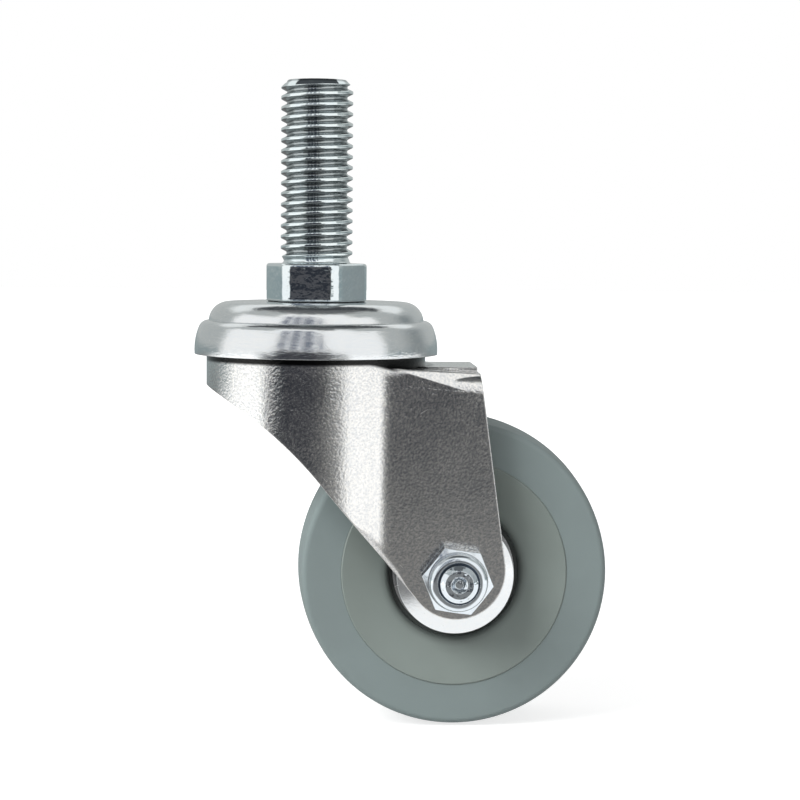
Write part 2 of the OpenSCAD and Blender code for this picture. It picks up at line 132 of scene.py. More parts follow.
def end_tree(tree, given, result, mesh):
    """Ends a Geometry Nodes tree: smooth faces, a real mesh and its material."""
    smooth = put(tree, "GeometryNodeSetShadeSmooth", {"Geometry": mesh})
    real_mesh = put(tree, "GeometryNodeRealizeInstances", {"Geometry": smooth.outputs[0]})
    dressed = put(tree, "GeometryNodeSetMaterial", {"Geometry": real_mesh.outputs[0],
                                                    "Material": given["Material"]})
    tree.links.new(dressed.outputs[0], result["Geometry"])


def thread_tree():
    """Screw thread round +Z: a sheared grid whose rows follow the helix, so its edges run true."""
    names = ("Crest Radius", "Root Radius", "Blank Radius", "Pitch", "Length", "Chamfer", "Fillet",
             "Run Out Start", "Run Out End")
    inputs = [(name, REAL_SOCKET, 0.0) for name in names] + [("Material", "NodeSocketMaterial", None)]
    tree, given, result = new_tree("screw_thread", "GeometryNodeTree", inputs,
                                   [("Geometry", "NodeSocketGeometry", None)])
    pitches = sum_of(tree, "CEIL", sum_of(tree, "DIVIDE", given["Length"], given["Pitch"]))
    turns = sum_of(tree, "ADD", pitches, SPARE_TURNS)
    height = sum_of(tree, "MULTIPLY", turns, given["Pitch"])
    rows = sum_of(tree, "ADD", sum_of(tree, "MULTIPLY", turns, ROWS_PER_PITCH), 1)
    grid = put(tree, "GeometryNodeMeshGrid", {"Size X": 2 * math.pi, "Size Y": height,
                                              "Vertices X": THREAD_STEPS + 1, "Vertices Y": rows})
    place = put(tree, "ShaderNodeSeparateXYZ", {0: tree.nodes.new("GeometryNodeInputPosition").outputs[0]})
    angle = sum_of(tree, "ADD", place.outputs["X"], math.pi)
    below = sum_of(tree, "MULTIPLY", given["Pitch"], TURNS_BELOW)
    start = sum_of(tree, "SUBTRACT", sum_of(tree, "DIVIDE", height, 2), below)
    along = sum_of(tree, "ADD", place.outputs["Y"], start)
    phase = sum_of(tree, "FRACT", sum_of(tree, "DIVIDE", along, given["Pitch"]))
    rise = sum_of(tree, "MULTIPLY", sum_of(tree, "ABSOLUTE", sum_of(tree, "SUBTRACT", phase, 0.5)), 2)
    flank = put(tree, "ShaderNodeMapRange", {
        "Value": rise, "From Min": ROOT_SHARE, "From Max": 1 - CREST_SHARE, "To Min": given["Root Radius"],
        "To Max": given["Crest Radius"]}, clamp=False).outputs[0]
    crested = sum_of(tree, "SMOOTH_MIN", flank, given["Crest Radius"], THREAD_SOFTNESS)
    profile = sum_of(tree, "SMOOTH_MAX", crested, given["Root Radius"], THREAD_SOFTNESS)
    lead = sum_of(tree, "MULTIPLY", given["Pitch"], sum_of(tree, "DIVIDE", angle, 2 * math.pi))
    level = sum_of(tree, "ADD", along, lead)
    formed = ramp(tree, level, given["Run Out Start"], given["Run Out End"])
    depth = sum_of(tree, "SUBTRACT", profile, given["Blank Radius"])
    rolled = sum_of(tree, "MULTIPLY_ADD", formed, depth, given["Blank Radius"])
    down = sum_of(tree, "SUBTRACT", 1, sum_of(tree, "DIVIDE", level, given["Fillet"]))
    inside = put(tree, "ShaderNodeClamp", {"Value": down}).outputs[0]
    arc = sum_of(tree, "SQRT", sum_of(tree, "SUBTRACT", 1, sum_of(tree, "POWER", inside, 2)))
    flare = sum_of(tree, "MULTIPLY", given["Fillet"], sum_of(tree, "SUBTRACT", 1, arc))
    necked = sum_of(tree, "ADD", rolled, flare)
    end = sum_of(tree, "SUBTRACT", given["Crest Radius"], given["Chamfer"])
    cone = sum_of(tree, "ADD", end, sum_of(tree, "SUBTRACT", given["Length"], level))
    radius = sum_of(tree, "MINIMUM", necked, cone)
    across = sum_of(tree, "MULTIPLY", radius, sum_of(tree, "COSINE", angle))
    deep = sum_of(tree, "MULTIPLY", radius, sum_of(tree, "SINE", angle))
    point = put(tree, "ShaderNodeCombineXYZ", {0: across, 1: deep, 2: level}).outputs[0]
    wound = put(tree, "GeometryNodeSetPosition", {"Geometry": grid.outputs["Mesh"], "Position": point})
    welded = put(tree, "GeometryNodeMergeByDistance", {"Geometry": wound.outputs[0], "Distance": WELD})
    end_tree(tree, given, result, welded.outputs[0])
    return tree


def grown(name, tree, values):
    """Mesh that a Geometry Nodes tree makes with these input values."""
    seed = bpy.data.objects.new(name, bpy.data.meshes.new(name))
    bpy.context.scene.collection.objects.link(seed)
    growth = seed.modifiers.new("growth", "NODES")
    growth.node_group = tree
    for item in tree.interface.items_tree:
        if item.in_out == "INPUT" and item.name in values:
            growth[item.identifier] = values[item.name]
    graph = bpy.context.evaluated_depsgraph_get()
    mesh = bpy.data.meshes.new_from_object(seed.evaluated_get(graph))
    seed.modifiers.remove(growth)
    bpy.data.objects.remove(seed)
    return mesh


def piece(name, mesh, body):
    """Object at the origin for a finished mesh, riding on a body."""
    made = bpy.data.objects.new(name, mesh)
    bpy.context.scene.collection.objects.link(made)
    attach(made, body)
    return made


def trim(mesh_data, low, high):
    """Cuts a bmesh at two heights and closes the cuts."""
    for height, up in ((low, -1), (high, 1)):
        everything = mesh_data.verts[:] + mesh_data.edges[:] + mesh_data.faces[:]
        bmesh.ops.bisect_plane(mesh_data, geom=everything, dist=WELD, plane_co=(0, 0, height),
                               plane_no=(0, 0, up), clear_outer=True)
        rim = [edge for edge in mesh_data.edges if edge.is_boundary]
        bmesh.ops.holes_fill(mesh_data, edges=rim, sides=0)


def noise(tree, place, scale, detail, roughness):
    """Output of a Noise texture."""
    return put(tree, "ShaderNodeTexNoise", {"Vector": place, "Scale": scale, "Detail": detail,
                                            "Roughness": roughness}).outputs[0]


PEEL_NOISE = (2.5, 0.5)
RIPPLE_NOISE = (1.5, 0.5)
CLOUD_NOISE = (3.0, 0.55)
CLOUD_SHARE = 0.3


def grain_group():
    """Grain of a plated or moulded surface: fine peel, slow ripple, and a roughness that follows them."""
    settings = ("Peel Scale", "Ripple Scale", "Roughness", "Spread")
    inputs = [("Place", VECTOR_SOCKET, None)] + [(label, REAL_SOCKET, 0.0) for label in settings]
    outputs = [(label, REAL_SOCKET, None) for label in ("Peel", "Ripple", "Cloud", "Roughness")]
    tree, given, result = new_tree("surface_grain", "ShaderNodeTree", inputs, outputs)
    peel = noise(tree, given["Place"], given["Peel Scale"], *PEEL_NOISE)
    ripple = noise(tree, given["Place"], given["Ripple Scale"], *RIPPLE_NOISE)
    wide = sum_of(tree, "MULTIPLY", given["Ripple Scale"], CLOUD_SHARE)
    cloud = noise(tree, given["Place"], wide, *CLOUD_NOISE)
    lean = sum_of(tree, "SUBTRACT", sum_of(tree, "ADD", peel, cloud), 1.0)
    rough = sum_of(tree, "MULTIPLY_ADD", lean, given["Spread"], given["Roughness"])
    for label, value in (("Peel", peel), ("Ripple", ripple), ("Cloud", cloud), ("Roughness", rough)):
        tree.links.new(value, result[label])
    return tree


HAIR_NOISE = (1.0, 0.5)
HAIR_SCALE = 6500.0
HAIR_SLANTS = (0.75, -0.55)
HAIR_STRETCH = (25.0, 1.0, 1.0)
HAIR_EDGE = 0.78
HAIR_EDGE_DROP = 0.2
HAIR_FADE = 0.08


def scratch_group():
    """Hairline scratches in two crossing directions, as a mask."""
    inputs = [("Place", VECTOR_SOCKET, None), ("Amount", REAL_SOCKET, 0.0)]
    outputs = [("Mask", REAL_SOCKET, None)]
    tree, given, result = new_tree("hairline_scratches", "ShaderNodeTree", inputs, outputs)
    edge = sum_of(tree, "SUBTRACT", HAIR_EDGE, sum_of(tree, "MULTIPLY", given["Amount"], HAIR_EDGE_DROP))
    full = sum_of(tree, "ADD", edge, HAIR_FADE)
    masks = []
    for slant in HAIR_SLANTS:
        drawn = put(tree, "ShaderNodeMapping", {"Vector": given["Place"], "Rotation": (0.0, slant, 0.0),
                                                "Scale": HAIR_STRETCH}, vector_type="TEXTURE")
        lines = noise(tree, drawn.outputs[0], HAIR_SCALE, *HAIR_NOISE)
        masks.append(ramp(tree, lines, edge, full, bend="LINEAR"))
    tree.links.new(sum_of(tree, "MAXIMUM", *masks), result["Mask"])
    return tree


def ring_group():
    """Painted shade in a groove round an axis: a mask by the distance from it, dark inside."""
    inputs = [(label, VECTOR_SOCKET, None) for label in ("Place", "Centre", "Across")]
    inputs += [(label, REAL_SOCKET, 0.0) for label in ("Inner", "Outer", "Darkest")]
    tree, given, result = new_tree("ring_shade_mask", "ShaderNodeTree", inputs, [("Mask", REAL_SOCKET, None)])
    away = put(tree, "ShaderNodeVectorMath", {0: given["Place"], 1: given["Centre"]}, operation="SUBTRACT")
    flat = put(tree, "ShaderNodeVectorMath", {0: away.outputs[0], 1: given["Across"]}, operation="MULTIPLY")
    radius = put(tree, "ShaderNodeVectorMath", {0: flat.outputs[0]}, operation="LENGTH").outputs["Value"]
    mask = ramp(tree, radius, given["Inner"], given["Outer"], given["Darkest"])
    tree.links.new(mask, result["Mask"])
    return tree


GRAIN = grain_group()
SCRATCHES = scratch_group()
RING_SHADE = ring_group()
EDGE_SAMPLES = 6


def grained(tree, place, peel, ripple, rough, spread):
    """Outputs of the surface grain with these settings."""
    return put(tree, "ShaderNodeGroup", {"Place": place, "Peel Scale": peel, "Ripple Scale": ripple,
                                         "Roughness": rough, "Spread": spread}, node_tree=GRAIN).outputs


def relief(tree, grain, edge, ripple_depth, peel_depth):
    """Normal of a surface with soft edges, a slow ripple and a fine peel."""
    rounded = put(tree, "ShaderNodeBevel", {"Radius": edge}, samples=EDGE_SAMPLES)
    waved = put(tree, "ShaderNodeBump", {"Strength": 1.0, "Distance": ripple_depth, "Height": grain["Ripple"],
                                         "Normal": rounded.outputs[0]})
    peeled = put(tree, "ShaderNodeBump", {"Strength": 1.0, "Distance": peel_depth, "Height": grain["Peel"],
                                          "Normal": waved.outputs[0]})
    return peeled.outputs[0]


def two_tone(tree, mask, low, high):
    """Colour between two tones by a mask."""
    mixed = put(tree, "ShaderNodeMix", {"Factor": mask, "A": low, "B": high}, data_type="RGBA")
    return mixed.outputs["Result"]


def new_material(name):
    """Material with its tree, its shader and its Object coordinates."""
    made = bpy.data.materials.new(name)
    made.use_nodes = True
    tree = made.node_tree
    return made, tree, tree.nodes["Principled BSDF"], put(tree, "ShaderNodeTexCoord").outputs["Object"]


def object_place(material):
    """Object coordinates that a material reads."""
    return next(node for node in material.node_tree.nodes if node.type == "TEX_COORD").outputs["Object"]


def ring_shade_mask(material, centre, across, inner, outer, darkest):
    """Mask of painted shade in a groove round an axis, for one material."""
    dirt = put(material.node_tree, "ShaderNodeGroup", {
        "Place": object_place(material), "Centre": centre, "Across": across, "Inner": inner, "Outer": outer,
        "Darkest": darkest}, node_tree=RING_SHADE)
    return dirt.outputs["Mask"]


BLACK = (0.0, 0.0, 0.0, 1.0)


def paint_shade(material, mask):
    """Darkens a material's colour where a mask is low, as painted shade."""
    tree = material.node_tree
    colour = tree.nodes["Principled BSDF"].inputs["Base Color"]
    unshaded = colour.links[0].from_socket
    tree.links.new(two_tone(tree, mask, BLACK, unshaded), colour)


DULL_CAST = (0.82, 0.86, 0.90)
CLEAR_CAST = (1.02, 1.0, 0.97)
FLECK_EDGE = (0.36, 0.64)
HAIR_DULLS = 0.14


def cast(colour, parts):
    """Colour with a cast over its three parts."""
    return tuple(part * share for part, share in zip(colour, parts)) + (1.0,)


def plated(name, colour, peel=2500.0, peel_depth=0.003 * MM, ripple=300.0, ripple_depth=0.01 * MM, rough=0.2,
           spread=0.1, edge=0.15 * MM, scratch=0.3, stretch=(1.0, 1.0, 1.0), dull=DULL_CAST, fleck=0.2):
    """Zinc-plated steel: peel and ripple in the plate, hairlines, and edges that are not quite sharp."""
    made, tree, shader, place = new_material(name)
    drawn = put(tree, "ShaderNodeMapping", {"Vector": place, "Scale": stretch}).outputs[0]
    grain = grained(tree, drawn, peel, ripple, rough, spread)
    hair = put(tree, "ShaderNodeGroup", {"Place": place, "Amount": scratch}, node_tree=SCRATCHES)
    flecks = ramp(tree, grain["Peel"], *FLECK_EDGE, bend="LINEAR")
    slow = sum_of(tree, "MULTIPLY", grain["Cloud"], 1 - fleck)
    patches = sum_of(tree, "MULTIPLY_ADD", flecks, fleck, slow)
    film = two_tone(tree, patches, cast(colour, dull), cast(colour, CLEAR_CAST))
    tree.links.new(film, shader.inputs["Base Color"])
    dulled = sum_of(tree, "MULTIPLY_ADD", hair.outputs["Mask"], HAIR_DULLS, grain["Roughness"])
    tree.links.new(dulled, shader.inputs["Roughness"])
    tree.links.new(relief(tree, grain, edge, ripple_depth, peel_depth), shader.inputs["Normal"])
    shader.inputs["Metallic"].default_value = 1.0
    return made


def dress(node, material):
    """Gives a CAD node its material."""
    mesh = frame["nodes"][node].data
    mesh.materials.clear()
    mesh.materials.append(material)


# Painted shade on the thread: dark in its roots, and dark on the flanks that face down to the collar.
thread_zinc = plated("thread_zinc", THREAD_ZINC, ripple=800.0, ripple_depth=0.045 * MM, rough=0.06,
                     spread=0.06, edge=0.05 * MM)
paint_shade(thread_zinc, ring_shade_mask(thread_zinc, SWIVEL_CENTRE, ACROSS_SWIVEL, STEM_ROOT_R,
                                STEM_ROOT_R + THREAD_SHADE_REACH, THREAD_SHADE_DARKEST))
zinc_tree = thread_zinc.node_tree
flank_way = put(zinc_tree, "ShaderNodeNewGeometry").outputs["Normal"]
flank_z = put(zinc_tree, "ShaderNodeSeparateXYZ", {0: flank_way}).outputs["Z"]
paint_shade(thread_zinc, ramp(zinc_tree, flank_z, *UNDERSIDE, 1.0, UNDERSIDE_DARKEST, bend="LINEAR"))
collar_zinc = plated("collar_zinc", ZINC_COLD, peel=2000.0, peel_depth=0.01 * MM, ripple=500.0,
                     ripple_depth=0.014 * MM, rough=0.2, spread=0.2, edge=0.3 * MM, scratch=0.5,
                     stretch=(1.0, 1.0, 0.5), dull=COLLAR_DULL, fleck=0.6)
stem_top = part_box("stem")[1].z
shank_mesh = grown("shank", thread_tree(), {
    "Crest Radius": STEM_CREST_R, "Root Radius": STEM_ROOT_R, "Blank Radius": STEM_BLANK_R,
    "Pitch": STEM_PITCH, "Length": stem_top, "Chamfer": STEM_CHAMFER, "Fillet": STEM_FILLET,
    "Run Out Start": RUN_OUT[0], "Run Out End": RUN_OUT[1], "Material": thread_zinc})
stem_form = bmesh.new()
stem_form.from_mesh(shank_mesh)
trim(stem_form, -STEM_SINK, stem_top)
stem_form.to_mesh(shank_mesh)
stem_form.clear()
stem_form.from_mesh(frame["nodes"]["stem"].data)
bmesh.ops.remove_doubles(stem_form, verts=stem_form.verts[:], dist=WELD)
collar_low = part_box("bearing_cap")[1].z
collar_faces = [face for face in stem_form.faces
                if all(corner.co.z > collar_low - FACE_SLACK for corner in face.verts)]
bmesh.ops.delete(stem_form, geom=collar_faces, context="FACES")
pin_rim = [edge for edge in stem_form.edges if edge.is_boundary]
for vertex in {end for edge in pin_rim for end in edge.verts}:
    vertex.co.z += PIN_SINK
bmesh.ops.holes_fill(stem_form, edges=pin_rim, sides=0)


def hex_outline(inset):
    """Outline of the hex collar with rounded corners, drawn in by an inset."""
    centre_r = (HEX_ACROSS / 2 - HEX_CORNER_R) / math.cos(math.radians(30))
    points = []
    for corner in range(6):
        facing = math.radians(60 * corner) - HEX_TURN
        for i in range(CORNER_STEPS + 1):
            angle = facing + math.radians(60 * i / CORNER_STEPS - 30)
            points.append((centre_r * math.cos(facing) + (HEX_CORNER_R - inset) * math.cos(angle),
                           centre_r * math.sin(facing) + (HEX_CORNER_R - inset) * math.sin(angle)))
    return points


edge_arc = [math.radians(90 * i / EDGE_STEPS) for i in range(EDGE_STEPS + 1)]
edge_rows = [(HEX_EDGE_R * (1 - math.sin(angle)), HEX_EDGE_R * (1 - math.cos(angle))) for angle in edge_arc]
edge_rows.append((0.0, HEX_EDGE_R + EDGE_MARGIN))
collar_rows = [(inset, collar_low + rise) for inset, rise in edge_rows]
collar_rows += [(inset, -rise) for inset, rise in reversed(edge_rows)]
rings = [[stem_form.verts.new((x, y, height)) for x, y in hex_outline(inset)]
         for inset, height in collar_rows]
for below, above in zip(rings, rings[1:]):
    for i in range(len(below)):
        stem_form.faces.new((below[i - 1], below[i], above[i], above[i - 1]))
stem_form.faces.new(list(reversed(rings[0])))
stem_form.faces.new(rings[-1])
for edge in stem_form.edges:
    edge.smooth = edge.calc_face_angle(0) < SHARP_ANGLE
for face in stem_form.faces:
    face.smooth = True
    face.material_index = COLLAR_SLOT
stem_form.from_mesh(shank_mesh)
stem_mesh = bpy.data.meshes.new("threaded_stem")
stem_form.to_mesh(stem_mesh)
stem_form.free()
bpy.data.meshes.remove(shank_mesh)
stem_mesh.materials.clear()
stem_mesh.materials.append(thread_zinc)
stem_mesh.materials.append(collar_zinc)
stem = piece("threaded_stem", stem_mesh, "stem")
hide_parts("stem")

# Bearing cap
# Two-tier cap pressed from thin sheet, held under the hex collar. Its inside is the upper race of the swivel.
# Bright zinc plate, smoother than the fork.
ZINC_NEUTRAL = (0.77, 0.785, 0.79, 1.0)
cap_zinc = plated("cap_zinc", ZINC_NEUTRAL, peel=2200.0, peel_depth=0.02 * MM, ripple=420.0,
                  ripple_depth=0.03 * MM, rough=0.17, spread=0.18, stretch=(0.4, 0.4, 1.6))
dress("bearing_cap", cap_zinc)

# Swivel balls and lower race
# Two rings of hardened balls above and below the fork's crown, and the grooved washer that the riveted end of
# the king pin holds up. Polished steel with a film of grease.
BALL_STEEL = (0.62, 0.62, 0.63, 1.0)
ball_polish = plated("ball_polish", BALL_STEEL, peel_depth=0.001 * MM, ripple_depth=0.002 * MM, rough=0.12,
                     spread=0.1, edge=0.05 * MM, scratch=0.1)
for node in ("upper_balls", "lower_balls"):
    dress(node, ball_polish)
dress("lower_race", plated("race_zinc", ZINC_NEUTRAL, rough=0.28, spread=0.12))

# Fork
# One sheet of steel drawn into a drum at the front and bent down into two legs, then barrel zinc plated.
# The plate is cloudy, with a fine orange peel and hairlines from the barrel.
FORK_ZINC = (0.85, 0.85, 0.836, 1.0)
FORK_DULL = (0.66, 0.68, 0.71)
fork_zinc = plated("fork_zinc", FORK_ZINC, peel=2500.0, peel_depth=0.03 * MM, ripple=420.0,
                   ripple_depth=0.012 * MM, rough=0.155, spread=0.14, edge=0.3 * MM, scratch=0.2,
                   dull=FORK_DULL, fleck=0.55)
BEND_SOFTNESS = 1.6 * MM
BEND_REACH = (6.5 * MM, 4.5 * MM)
BEND_END = (24.0 * MM, 20.5 * MM)
CREASE_FROM = (6.0 * MM, 9.0 * MM)
CREASE_TO = (15.0 * MM, 12.5 * MM)
# Band of painted shade under the cap's rim: its heights, darkest tone, reach round the swivel, side and drop.
CAP_SHADE_LINE = (1.35 * MM, 0.8 * MM)
CAP_SHADE_DARKEST = 0.03
CAP_SHADE_R = (19.0 * MM, 20.0 * MM)
CAP_SHADE_SIDE = (8.0 * MM, 13.0 * MM)
CAP_SHADE_DROP = 0.9 * MM
fork_tree = fork_zinc.node_tree
fork_place = put(fork_tree, "ShaderNodeSeparateXYZ", {0: object_place(fork_zinc)}).outputs
crown_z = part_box("fork")[1].z
cap_edge_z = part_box("bearing_cap")[0].z
at_bend = sum_of(fork_tree, "MULTIPLY",
                 ramp(fork_tree, fork_place["Z"], crown_z - BEND_REACH[0], crown_z - BEND_REACH[1]),
                 ramp(fork_tree, fork_place["X"], *BEND_END))
at_crease = sum_of(fork_tree, "MULTIPLY", ramp(fork_tree, fork_place["X"], *CREASE_FROM),
                   ramp(fork_tree, fork_place["X"], *CREASE_TO))
sheet_edge = next(node for node in fork_tree.nodes if node.type == "BEVEL").inputs["Radius"]
folded = sum_of(fork_tree, "MAXIMUM", at_bend, at_crease)
softened = sum_of(fork_tree, "MULTIPLY_ADD", folded, BEND_SOFTNESS, sheet_edge.default_value)
fork_tree.links.new(softened, sheet_edge)
# Painted shade under the cap's rim: a dark band on the crown, lower towards the back, only within the drum
# round the swivel.
shade_drop = ramp(fork_tree, fork_place["X"], *CAP_SHADE_SIDE, 0.0, CAP_SHADE_DROP)
shade_z = sum_of(fork_tree, "ADD", fork_place["Z"], shade_drop)
under_cap_shade = ramp(fork_tree, shade_z, cap_edge_z - CAP_SHADE_LINE[0], cap_edge_z - CAP_SHADE_LINE[1], 1.0,
               CAP_SHADE_DARKEST)
outside = ring_shade_mask(fork_zinc, SWIVEL_CENTRE, ACROSS_SWIVEL, *CAP_SHADE_R, 0.0)
paint_shade(fork_zinc, sum_of(fork_tree, "MAXIMUM", under_cap_shade, outside))
dress("fork", fork_zinc)

# Axle
# A hex bolt from the far side, a lock nut with a nylon ring crimped into its collar, and a plain sleeve that
# the legs clamp on. Bright zinc plate, blue-white on the nut, and a hammered end on the bolt.
ZINC_BLUE = (0.74, 0.79, 0.83, 1.0)
nut_zinc = plated("nut_zinc", ZINC_BLUE, ripple=600.0, ripple_depth=0.01 * MM, rough=0.14, spread=0.12)
dress("lock_nut", nut_zinc)
TIP_REACH = (3.0 * MM, 4.5 * MM)
HEAD_RIPPLE = 0.04
bolt_zinc = plated("bolt_zinc", ZINC_BLUE, ripple=1000.0, ripple_depth=0.2 * MM, rough=0.1, spread=0.1)
bolt_tree = bolt_zinc.node_tree
bolt_y = put(bolt_tree, "ShaderNodeSeparateXYZ", {0: object_place(bolt_zinc)}).outputs["Y"]
tip_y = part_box("axle_bolt")[0].y
hammered = ramp(bolt_tree, bolt_y, tip_y + TIP_REACH[0], tip_y + TIP_REACH[1], 1.0, HEAD_RIPPLE)
wave = next(node for node in bolt_tree.nodes if node.type == "BUMP")
bolt_tree.links.new(hammered, wave.inputs["Strength"])
dress("axle_bolt", bolt_zinc)
dress("axle_sleeve", plated("sleeve_zinc", ZINC_NEUTRAL, rough=0.3))
MOULD_PEEL = 2600.0
MOULD_CLOUD = (0.35, 0.65)
INSERT_NYLON = (0.05, 0.075, 0.11, 1.0)
INSERT_SHADE = (0.035, 0.05, 0.08, 1.0)


def moulded(name, colour, shade, ripple, rough, spread, ripple_depth=0.002 * MM, peel_depth=0.004 * MM,
            edge=0.1 * MM):
    """Moulded plastic or rubber: slow clouds between two tones, and a fine skin."""
    made, tree, shader, place = new_material(name)
    grain = grained(tree, place, MOULD_PEEL, ripple, rough, spread)
    patch = ramp(tree, grain["Cloud"], *MOULD_CLOUD, bend="LINEAR")
    tree.links.new(two_tone(tree, patch, shade, colour), shader.inputs["Base Color"])
    tree.links.new(grain["Roughness"], shader.inputs["Roughness"])
    tree.links.new(relief(tree, grain, edge, ripple_depth, peel_depth), shader.inputs["Normal"])
    return made


dress("nut_insert", moulded("insert_nylon", INSERT_NYLON, INSERT_SHADE, ripple=900.0, rough=0.4, spread=0.15,
                            edge=0.05 * MM))

# Cover discs
# Pressed dust covers between the legs and the hubs, clamped by the axle.
# Bright zinc plate, nearly white.
COVER_ZINC = (0.8, 0.815, 0.82, 1.0)
cover_zinc = plated("cover_zinc", COVER_ZINC, peel=2200.0, peel_depth=0.012 * MM, ripple=350.0,
                    ripple_depth=0.015 * MM, rough=0.2, spread=0.15)
for node in ("near_cover", "far_cover"):
    dress(node, cover_zinc)

# Wheel bearings
# Two cup-and-cone ball bearings in the core: turned and hardened races with a ring of balls each.
# The balls have the polish of the swivel's.
race_steel = plated("race_steel", BALL_STEEL, peel_depth=0.002 * MM, ripple_depth=0.003 * MM, rough=0.22,
                    spread=0.1, edge=0.1 * MM)
for side in ("near", "far"):
    dress(side + "_cone", race_steel)
    dress(side + "_cup", race_steel)
    dress(side + "_balls", ball_polish)

# Wheel core
# Moulded plastic centre with dished faces and a rounded lip round each hub recess. Satin grey with a green
# cast, and a ring of painted shade round the covers.
CORE_GREY = (0.255, 0.30, 0.28, 1.0)
CORE_SHADE = (0.235, 0.275, 0.255, 1.0)
HUB_SHADE_REACH = 3.0 * MM
HUB_SHADE_DARKEST = 0.05
ACROSS_AXLE = (1.0, 0.0, 1.0)
core_plastic = moulded("core_plastic", CORE_GREY, CORE_SHADE, ripple=180.0, rough=0.38, spread=0.2,
                       ripple_depth=0.012 * MM)
spin = next(joint for joint in frame["joints"] if joint["name"] == "wheel_spin")
axle = Vector(spin["pos_m"])
cover_low, cover_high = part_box("near_cover")
cover_r = (cover_high.x - cover_low.x) / 2
# Painted shade: the core darkens in a ring round the covers, darkest at the cover's rim.
paint_shade(core_plastic, ring_shade_mask(core_plastic, axle, ACROSS_AXLE, cover_r, cover_r + HUB_SHADE_REACH,
                                 HUB_SHADE_DARKEST))
dress("wheel_core", core_plastic)

# Tyre
# Soft grey thermoplastic rubber moulded round the core in a two-part mould, which leaves a fine parting line
# along the middle of the tread.
TYRE_GREY = (0.236, 0.29, 0.288, 1.0)
TYRE_SHADE = (0.22, 0.268, 0.266, 1.0)
tyre_rubber = moulded("tyre_rubber", TYRE_GREY, TYRE_SHADE, ripple=220.0, rough=0.6, spread=0.15,
                      ripple_depth=0.01 * MM, peel_depth=0.008 * MM)
dress("tyre", tyre_rubber)
LINE_WIDTH = 0.35 * MM
LINE_HEIGHT = 0.06 * MM
LINE_STEPS = 180
SECTION_STEPS = 10


def parting_tree():
    """Thin line round the axle with an oval section, half sunk in the tread."""
    inputs = [(label, REAL_SOCKET, 0.0) for label in ("Radius", "Width", "Height")]
    inputs += [("Axle", VECTOR_SOCKET, None), ("Material", "NodeSocketMaterial", None)]
    tree, given, result = new_tree("parting_line", "GeometryNodeTree", inputs,
                                   [("Geometry", "NodeSocketGeometry", None)])
    circle = "GeometryNodeCurvePrimitiveCircle"
    ring = put(tree, circle, {"Resolution": LINE_STEPS, "Radius": given["Radius"]})
    section = put(tree, circle, {"Resolution": SECTION_STEPS, "Radius": 1.0})
    half_width = sum_of(tree, "DIVIDE", given["Width"], 2)
    size = put(tree, "ShaderNodeCombineXYZ", {0: given["Height"], 1: half_width, 2: 1.0})
    flat = put(tree, "GeometryNodeTransform", {"Geometry": section.outputs["Curve"],
                                               "Scale": size.outputs[0]})
    swept = put(tree, "GeometryNodeCurveToMesh", {"Curve": ring.outputs["Curve"],
                                                  "Profile Curve": flat.outputs["Geometry"]})
    turned = put(tree, "GeometryNodeTransform", {"Geometry": swept.outputs[0], "Translation": given["Axle"],
                                                 "Rotation": (math.radians(90), 0.0, 0.0)})
    end_tree(tree, given, result, turned.outputs[0])
    return tree


tyre_low, tyre_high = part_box("tyre")
parting_mesh = grown("parting_line", parting_tree(), {
    "Radius": (tyre_high.x - tyre_low.x) / 2, "Width": LINE_WIDTH, "Height": LINE_HEIGHT, "Axle": axle,
    "Material": tyre_rubber})
piece("tyre_parting_line", parting_mesh, "wheel")

# Floor and studio
# A pale floor under the wheel, and a round tent and floor mat that only gloss sees. The tent has soft boxes
# at the left and right, a window with posts in front above a dark flag, a dim ceiling, and grey walls with
# pale panels behind. The mat is grey near the castor and behind it, and dark far out in front.
FLOOR_R = 3.0
TENT_R = 0.8
TENT_CENTRE = Vector((0.01, 0.0, -0.02))
TENT_LOW = -6.0
TENT_LIGHT = 1.15
TENT_STEP = 4.0
MAT_LIFT = 0.4 * MM
MAT_FADE = (0.035, 0.055)
MAT_NEAR = (0.2, 0.35)
MAT_BEHIND = (100.0, 130.0)
ALL_ROUND = (-400.0, 400.0)
DOWN = -90.0
WHITE = (1.0, 1.0, 1.0, 1.0)
SIDE_BOX = (0.86, 0.875, 0.875, 1.0)
WALL_TEAL = (0.27, 0.318, 0.326, 1.0)
WALL_GREY = (0.46, 0.48, 0.475, 1.0)
WALL_DOOR = (0.25, 0.275, 0.28, 1.0)
WALL_PANEL = (0.88, 0.9, 0.895, 1.0)
CEILING = (0.13, 0.136, 0.14, 1.0)
BACK_CEILING = (0.06, 0.065, 0.07, 1.0)
WINDOW_POST = (0.12, 0.14, 0.19, 1.0)
FLAG_DARK = (0.026, 0.029, 0.038, 1.0)
FLAG_HAZE = (0.085, 0.082, 0.09, 1.0)
FLAG_DIM = (0.055, 0.056, 0.057, 1.0)
MAT_DIM = (0.235, 0.235, 0.233, 1.0)
FLAG_SPAN = (-54.0, 26.5)
FLAG_SOFT = 8.0
SPILL_SPAN = (5.0, 60.0)
SPILL_SOFT = 16.0


def stage_mesh(name, rows, material):
    """Stage object from rows of points."""
    mesh = bpy.data.meshes.new(name)
    wide = len(rows[0])
    faces = [(i * wide + j, i * wide + j + 1, (i + 1) * wide + j + 1, (i + 1) * wide + j)
             for i in range(len(rows) - 1) for j in range(wide - 1)]
    mesh.from_pydata([point for row in rows for point in row], [], faces)
    mesh.materials.append(material)
    made = bpy.data.objects.new(name, mesh)
    bpy.context.scene.collection.objects.link(made)
    return made


def for_gloss_only(made):
    """Shows a stage object in reflections alone."""
    made.visible_camera = False
    made.visible_diffuse = False
    made.visible_shadow = False


